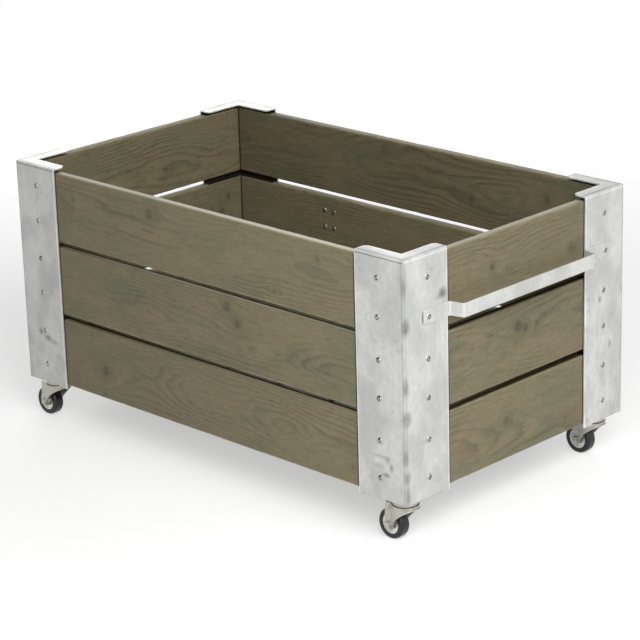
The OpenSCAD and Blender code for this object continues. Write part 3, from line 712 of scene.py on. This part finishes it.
def black_rubber(name):
    """Smooth moulded rubber with dust on it and a soft sheen."""
    g = Graph(name)
    point = g.vector("MULTIPLY", g.place, (1 / MM,) * 3)
    fine = g.math("SUBTRACT", g.noise(g.vector("DIVIDE", point, (0.8,) * 3), 2.0, 0.6), 0.5)
    dust = g.span(g.noise(g.vector("DIVIDE", point, (11, 11, 11)), 4.0, 0.62, 0.5), 0.42, 0.8)
    colour = g.mix(g.math("MULTIPLY", dust, 0.3), srgb(9, 9, 10), srgb(42, 41, 38))
    g.bump(fine, 0.06 * MM, 0.6)
    gloss = g.math("MULTIPLY_ADD", dust, 0.3, g.math("MULTIPLY_ADD", fine, 0.1, 0.34))
    return g.surface(Base_Color=colour, Roughness=gloss, Specular_IOR_Level=0.5)


def break_edges(bm, bevel, sharp_from=28):
    """Joins a CAD mesh's flat facets and bevels its sharp edges, whose new faces are marked."""
    edge_layer = bm.faces.layers.float.get("edge") or bm.faces.layers.float.new("edge")
    bmesh.ops.dissolve_limit(bm, angle_limit=math.radians(0.6), verts=bm.verts, edges=bm.edges)
    limit = math.radians(sharp_from)
    folds = [edge for edge in bm.edges if len(edge.link_faces) == 2]
    sharp = [edge for edge in folds if edge.calc_face_angle() > limit]
    made = bmesh.ops.bevel(
        bm, geom=sharp, offset=bevel, offset_type="OFFSET", segments=2, profile=0.6, affect="EDGES"
    )
    for face in made["faces"]:
        face[edge_layer] = 1.0


def smooth_mesh(name, bm):
    """The mesh of a bmesh, smooth but for its sharp edges."""
    mesh = bpy.data.meshes.new(name)
    bm.to_mesh(mesh)
    bm.free()
    for leftover in ("custom_normal", "sharp_face"):
        if leftover in mesh.attributes:
            mesh.attributes.remove(mesh.attributes[leftover])
    mesh.shade_smooth()
    mesh.set_sharp_from_angle(angle=math.radians(38))
    return mesh


def cad_copy(node):
    """The CAD node's own shape, with the points joined that its faces share."""
    bm = bmesh.new()
    bm.from_mesh(frame["nodes"][node].data)
    bmesh.ops.remove_doubles(bm, verts=bm.verts, dist=0.002 * MM)
    return bm


def dressed(node, material, bevel):
    """The CAD node's own shape, with its sharp edges broken, as a piece of its own."""
    bm = cad_copy(node)
    break_edges(bm, bevel)
    piece = stand_in(node + "_dressed", smooth_mesh(node + "_dressed", bm), material, node)
    normals = piece.modifiers.new("weighted_normals", "WEIGHTED_NORMAL")
    normals.keep_sharp = True


# ---------------------------------------------------------------- screws

HEAD_R = 4.5 * MM
# Where a screw's head is painted dark as shade: in its recess and on one side of its rim
RECESS_REACH = 0.72 * HEAD_R
RECESS_FROM = 0.25 * MM
RECESS_TO = 1.9 * MM
SHADE_FROM = 0.48 * HEAD_R
SHADE_TURN = math.radians(82)
RECESS_TURN = math.radians(75)
DARKEST_ON_FRONT, DARKEST_ON_END = 150, 60
SCREW_BEVEL = 0.12 * MM


def body_numbers(bm):
    """For each vertex, a number that the vertices of its own separate body share."""
    bm.verts.index_update()
    starts, ends = np.array([[vert.index for vert in edge.verts] for edge in bm.edges]).T
    numbers = np.arange(len(bm.verts))
    while True:
        lower = np.minimum(numbers[starts], numbers[ends])
        joined = numbers.copy()
        np.minimum.at(joined, starts, lower)
        np.minimum.at(joined, ends, lower)
        joined = joined[joined]
        if (joined == numbers).all():
            return numbers
        numbers = joined


def screw_crown(points):
    """The middle of the top of a screw's head, and the way that it faces."""
    low, high = points.min(axis=0), points.max(axis=0)
    axis = int(np.argmax(high - low))
    middle = (low + high) / 2
    across = np.delete(points - middle, axis, axis=1)
    head = points[np.hypot(*across.T) > 0.9 * HEAD_R, axis].mean()
    side = 1 if head > middle[axis] else -1
    crown, facing = Vector(middle), Vector((0, 0, 0))
    crown[axis] = (high if side > 0 else low)[axis]
    facing[axis] = side
    return crown, facing


def screw_crowns(bm):
    """The crowns of all the screws of one node, with the numbers of their bodies."""
    places = np.array([vert.co for vert in bm.verts])
    numbers = body_numbers(bm)
    bodies = np.unique(numbers)
    return [(int(body), *screw_crown(places[numbers == body])) for body in bodies], numbers


def dressed_screws(node, material, seed):
    """Copies of the node's first screw, with broken edges and painted shade, each turned by chance.

    One side of the rim is painted dark as shade, and so is the other side of the recess. The rim's
    is the upper left on the front, and the right on the end."""
    bm = cad_copy(node)
    crowns, numbers = screw_crowns(bm)
    body, crown, facing = crowns[0]
    others = [vert for vert in bm.verts if numbers[vert.index] != body]
    bmesh.ops.delete(bm, geom=others, context="VERTS")
    upright = facing.rotation_difference(Vector((0, 0, 1))).to_matrix().to_4x4()
    bmesh.ops.transform(bm, matrix=upright @ Matrix.Translation(-crown), verts=bm.verts)
    recess = bm.faces.layers.float.new("recess")
    break_edges(bm, SCREW_BEVEL)
    # Marks the faces that are painted dark as shade
    for face in bm.faces:
        middle = face.calc_center_median()
        radius, turned = middle.xy.length, abs(math.atan2(middle.y, middle.x))
        in_recess = middle.z < -RECESS_FROM and radius < RECESS_REACH and turned > RECESS_TURN
        in_shade = radius > SHADE_FROM and turned < SHADE_TURN
        if middle.z > -RECESS_TO and (in_recess or in_shade):
            face[recess] = 1.0
    pattern = smooth_mesh(node + "_pattern", bm)
    chance = random.Random(seed)
    joined = bmesh.new()
    for _, crown, facing in crowns:
        darkest = DARKEST_ON_FRONT if facing.y else DARKEST_ON_END
        turn = Matrix.Rotation(math.radians(darkest + chance.uniform(-25, 25)), 4, "Z")
        lean = Vector((0, 0, 1)).rotation_difference(facing).to_matrix().to_4x4()
        screw = pattern.copy()
        screw.transform(Matrix.Translation(crown) @ lean @ turn)
        joined.from_mesh(screw)
        bpy.data.meshes.remove(screw)
    bpy.data.meshes.remove(pattern)
    stand_in(node + "_dressed", smooth_mesh(node + "_dressed", joined), material, node)
    return [crown for _, crown, _ in crowns]


screw_steel = plated("screw_plate", srgb(200, 200, 196), srgb(120, 119, 114), 0.3, 0.9, 0.7)
bracket_crowns = dressed_screws("bracket_screws", screw_steel, 5)
bracket_crowns = sorted(tuple(crown / MM) for crown in bracket_crowns)
for number, node in enumerate(("wall_screws", "bearer_screws", "floor_screws")):
    dressed_screws(node, screw_steel, 6 + number)


# Smudges on the sheet: (centre, reach, strength), in millimetres in the frame's axes
SMUDGES = {
    "front_left": (
        ((-392, -263, 159), (15, 6, 10), 0.55),
        ((-410, -263, 167), (11, 6, 10), 0.5),
        ((-376, -263, 154), (14, 6, 7), 0.4),
        ((-449, -263, 73), (5, 6, 9), 0.4),
        ((-440, -263, 98), (8, 6, 20), 0.12),
    ),
    "front_right": (
        ((437, -262, 425), (9, 9, 26), 0.42),
        ((438, -176, 397), (7, 14, 12), 0.75),
        ((438, -180, 391), (7, 24, 7), 0.3),
        ((437, -259, 362), (9, 12, 20), 0.6),
        ((437, -260, 268), (8, 9, 24), 0.55),
        ((437, -258, 216), (9, 13, 19), 0.6),
        ((436, -262, 154), (9, 9, 18), 0.5),
        ((437, -259, 122), (9, 10, 15), 0.5),
        ((437, -258, 92), (8, 8, 22), 0.4),
        ((438, -216, 170), (7, 16, 5), 0.25),
        ((400, -263, 143), (8, 7, 9), 0.4),
        ((407, -263, 132), (6, 7, 11), 0.5),
        ((397, -263, 118), (12, 7, 6), 0.5),
        ((388, -263, 146), (32, 7, 5), 0.28),
        ((380, -263, 130), (16, 7, 7), 0.22),
        ((349, -263, 74), (4, 7, 5), 0.8),
        ((379, -263, 330), (12, 7, 5), 0.16),
        ((402, -263, 205), (30, 7, 22), 0.12),
    ),
    "back_right": (
        ((438, 202, 286), (7, 6, 9), 0.6),
        ((438, 173, 293), (7, 4, 6), 0.35),
        ((438, 174, 273), (7, 4, 7), 0.4),
        ((438, 229, 204), (7, 5, 12), 0.45),
        ((438, 196, 236), (7, 6, 24), 0.12),
        ((438, 173, 87), (7, 5, 7), 0.3),
    ),
}


def shade_at_handle(low, high):
    """The dark line beside each foot of the handle."""
    foot_low, foot_high = (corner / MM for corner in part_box("pull_handle"))
    middle = (foot_low + foot_high) / 2
    near = []
    for end in (foot_low.y - 0.5, foot_high.y + 0.5):
        if low.x / MM < foot_low.x < high.x / MM + 9 and low.y / MM < end < high.y / MM:
            near.append(((high.x / MM, end, middle.z), (7, 2.4, 15), 0.9))
    return tuple(near)


def shade_round_screws(low, high):
    """A faint painted shade: a dark ring round each screw in this box."""
    near = []
    for crown in bracket_crowns:
        if all(low[i] / MM - 9 < crown[i] < high[i] / MM + 9 for i in range(3)):
            near.append((crown, (8, 8, 8), 0.6))
    return tuple(near)


# Each bracket's tone is partly painted light, lower on the front left one, which gets less light.
# The top lights paint light or shade on each flange's top.
BRACKET_TONES = {"front_left": 0.84, "front_right": 0.94, "back_left": 1.0, "back_right": 1.0}
BRACKET_TOP_LIGHTS = {"front_left": 0.7, "front_right": -0.12, "back_left": 0.3, "back_right": -0.2}
SHEET_BEVEL, HANDLE_BEVEL, FORK_BEVEL, SMALL_BEVEL = 0.35 * MM, 0.4 * MM, 0.3 * MM, 0.2 * MM

for number, corner in enumerate(CORNERS):
    node = "bracket_" + corner
    tone, painted_top_light = BRACKET_TONES[corner], BRACKET_TOP_LIGHTS[corner]
    smudges_and_shade = SMUDGES.get(corner, ())
    # Painted shade round the screws and beside the handle's feet, with the smudges
    smudges_and_shade += shade_round_screws(*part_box(node)) + shade_at_handle(*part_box(node))
    finish = galvanised("galvanised_" + corner, tone, number + 1, smudges_and_shade, Sheet(node), painted_top_light=painted_top_light)
    dressed(node, finish, SHEET_BEVEL)

handle_zinc = galvanised("galvanised_handle", 0.99, 9, grain=(3.5, 150, 3.5), soil=0.6)
dressed("pull_handle", handle_zinc, HANDLE_BEVEL)

castor_zinc = plated("castor_zinc_plate", srgb(178, 177, 166), srgb(134, 132, 120), 0.34, 0.85, 1.4)
hub_steel = plated("turned_hub", srgb(206, 206, 202), srgb(150, 149, 144), 0.26, 0.9, 0.9)
ball_steel = plated("ball_steel", srgb(190, 190, 192), srgb(120, 120, 120), 0.16, 1.0, 1.2)
rubber = black_rubber("black_rubber")


def finish_node(node, material):
    """Gives its finish to a CAD node whose own shape stays."""
    mesh = frame["nodes"][node].data
    mesh.materials.clear()
    mesh.materials.append(material)


for node in ("king_rivets", "king_bolts", "king_washers", "king_nuts"):
    finish_node(node, castor_zinc)
finish_node("ball_races", ball_steel)


def tyre_profile(bore, outer, half):
    """The section of a tyre as (radius, across): side beads, round shoulders, a crowned tread."""
    shoulder = 4 * MM
    bead = 0.35 * MM
    side = [(bore, -half), (bore + 0.8 * MM, -half), (bore + 1.2 * MM, bead - half)]
    side += [(outer - shoulder - 0.8 * MM, bead - half), (outer - shoulder, 0.6 * bead - half)]
    rounding = []
    for step in range(1, 9):
        angle = math.radians(90 * step / 8)
        across = shoulder * (1 - math.cos(angle)) - half
        rounding.append((outer - shoulder * (1 - math.sin(angle)) - 0.15 * MM, across))
    tread = [(outer, -0.3 * half), (outer, -0.05 * half)]
    section = side + rounding + tread
    return section + [(radius, -across) for radius, across in reversed(section)]


def lathe(name, section, centre, steps=96):
    """A ring about an axis along Y."""
    bm = bmesh.new()
    rings = []
    for step in range(steps):
        angle = 2 * math.pi * step / steps
        ring = []
        for radius, across in section:
            x, z = radius * math.cos(angle), radius * math.sin(angle)
            ring.append(bm.verts.new((centre.x + x, centre.y + across, centre.z + z)))
        rings.append(ring)
    size = len(section)
    for step, ring in enumerate(rings):
        after = rings[(step + 1) % steps]
        for i in range(size):
            bm.faces.new((ring[i], ring[(i + 1) % size], after[(i + 1) % size], after[i]))
    bmesh.ops.recalc_face_normals(bm, faces=bm.faces)
    mesh = bpy.data.meshes.new(name)
    bm.to_mesh(mesh)
    bm.free()
    mesh.shade_smooth()
    mesh.set_sharp_from_angle(angle=math.radians(40))
    return mesh


for corner in CORNERS:
    dressed("castor_cap_" + corner, castor_zinc, SHEET_BEVEL)
    dressed("fork_" + corner, castor_zinc, FORK_BEVEL)
    dressed("axle_bolt_" + corner, castor_zinc, SMALL_BEVEL)
    dressed("axle_nut_" + corner, castor_zinc, SMALL_BEVEL)
    dressed("hub_" + corner, hub_steel, SMALL_BEVEL)
    low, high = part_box("tyre_" + corner)
    hub_low, hub_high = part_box("hub_" + corner)
    bore = (hub_high.x - hub_low.x) / 2 + 0.05 * MM
    section = tyre_profile(bore, (high.x - low.x) / 2, (high.y - low.y) / 2)
    name = f"tyre_{corner}_moulded"
    stand_in(name, lathe(name, section, (low + high) / 2), rubber, "tyre_" + corner)


# ---------------------------------------------------------------- floor, lights and camera

FLOOR_HALF = 30.0
FLOOR_NEAR = 0.9
FLOOR_FAR = 1.9
FLOOR_GLARE = 0.5


def seen_directly(nodes, links):
    """1 for rays that see the background's own white: the camera's, and off gloss or glass."""
    path = nodes.new("ShaderNodeLightPath")
    result = path.outputs["Is Camera Ray"]
    for name in ("Is Glossy Ray", "Is Transmission Ray"):
        either = nodes.new("ShaderNodeMath")
        either.operation = "MAXIMUM"
        links.new(result, either.inputs[0])
        links.new(path.outputs[name], either.inputs[1])
        result = either.outputs[0]
    return result


def make_floor():
    """A pale floor that keeps the shadow near the planter and is plain white further off."""
    mesh = bpy.data.meshes.new("studio_floor")
    corners = [(-1, -1), (1, -1), (1, 1), (-1, 1)]
    mesh.from_pydata([(FLOOR_HALF * x, FLOOR_HALF * y, 0) for x, y in corners], [], [(0, 1, 2, 3)])
    floor = bpy.data.objects.new("studio_floor", mesh)
    bpy.context.scene.collection.objects.link(floor)
    g = Graph("studio_floor_paint")
    direct = seen_directly(g.tree.nodes, g.tree.links)
    g.feed(g.shader.inputs["Base Color"], g.mix(direct, (0.8, 0.8, 0.8, 1), (1, 1, 1, 1)))
    g.surface(Roughness=0.9, Specular_IOR_Level=0.0)
    length = g.add("ShaderNodeVectorMath", operation="LENGTH")
    g.feed(length.inputs[0], g.place)
    glare = g.span(length.outputs["Value"], FLOOR_NEAR, FLOOR_FAR, FLOOR_GLARE, 1.0)
    far = g.math("MULTIPLY", glare, direct)
    glow = g.add("ShaderNodeEmission")
    glow.inputs["Color"].default_value = (1, 1, 1, 1)
    blend = g.add("ShaderNodeMixShader")
    g.feed(blend.inputs[0], far)
    g.tree.links.new(g.shader.outputs[0], blend.inputs[1])
    g.tree.links.new(glow.outputs[0], blend.inputs[2])
    g.tree.links.new(blend.outputs[0], g.tree.nodes["Material Output"].inputs["Surface"])
    mesh.materials.append(g.material)


def make_world(low_fill, high_fill):
    """Soft light from all round, weaker overhead, behind a background that is seen as white."""
    world = bpy.data.worlds.new("studio_world")
    world.use_nodes = True
    nodes, links = world.node_tree.nodes, world.node_tree.links
    background = nodes["Background"]
    background.inputs["Color"].default_value = (1, 1, 1, 1)
    towards = nodes.new("ShaderNodeSeparateXYZ")
    links.new(nodes.new("ShaderNodeTexCoord").outputs["Generated"], towards.inputs[0])
    fill = nodes.new("ShaderNodeMapRange")
    fill.interpolation_type = "SMOOTHSTEP"
    links.new(towards.outputs["Z"], fill.inputs["Value"])
    fill.inputs["From Min"].default_value = 0.15
    fill.inputs["From Max"].default_value = 0.85
    fill.inputs["To Min"].default_value = low_fill
    fill.inputs["To Max"].default_value = high_fill
    level = nodes.new("ShaderNodeMapRange")
    links.new(seen_directly(nodes, links), level.inputs["Value"])
    links.new(fill.outputs[0], level.inputs["To Min"])
    level.inputs["To Max"].default_value = 1.0
    links.new(level.outputs[0], background.inputs["Strength"])
    bpy.context.scene.world = world


def soft_light(name, place, aim, width, height, watts):
    light = bpy.data.lights.new(name, "AREA")
    light.shape = "RECTANGLE"
    light.size, light.size_y = width, height
    light.energy = watts
    lamp = bpy.data.objects.new(name, light)
    lamp.location = place
    lamp.rotation_euler = (Vector(aim) - Vector(place)).to_track_quat("-Z", "Y").to_euler()
    bpy.context.scene.collection.objects.link(lamp)


CAMERA_PLACE = Vector((2.7749, -2.8027, 1.576))
CAMERA_AZIMUTH = math.radians(44.665)
CAMERA_ELEVATION = math.radians(19.129)
CAMERA_ROLL = math.radians(-1.645)
CAMERA_LENS = 140.03


def make_camera():
    flat = math.cos(CAMERA_ELEVATION)
    back = Vector((
        math.sin(CAMERA_AZIMUTH) * flat,
        -math.cos(CAMERA_AZIMUTH) * flat,
        math.sin(CAMERA_ELEVATION),
    ))
    data = bpy.data.cameras.new("photo_camera")
    data.sensor_width = 36
    data.lens = CAMERA_LENS
    data.clip_start, data.clip_end = 0.1, 200
    camera = bpy.data.objects.new("photo_camera", data)
    level = (-back).to_track_quat("-Z", "Y").to_matrix().to_4x4()
    roll = Matrix.Rotation(CAMERA_ROLL, 4, "Z")
    camera.matrix_world = Matrix.Translation(CAMERA_PLACE) @ level @ roll
    bpy.context.scene.collection.objects.link(camera)
    bpy.context.scene.camera = camera


make_floor()
make_world(low_fill=0.4, high_fill=0.2)
soft_light("right", (2.2, -0.8, 2.0), (0.4, 0, 0.25), 2.0, 1.4, 58)
soft_light("front", (1.7, -1.75, 1.7), (0.2, -0.2, 0.25), 1.6, 1.2, 40)
soft_light("behind", (-1.9, 1.9, 1.9), (0, 0, 0.25), 2.0, 1.4, 24)
make_camera()
bpy.context.scene.view_settings.view_transform = "Standard"
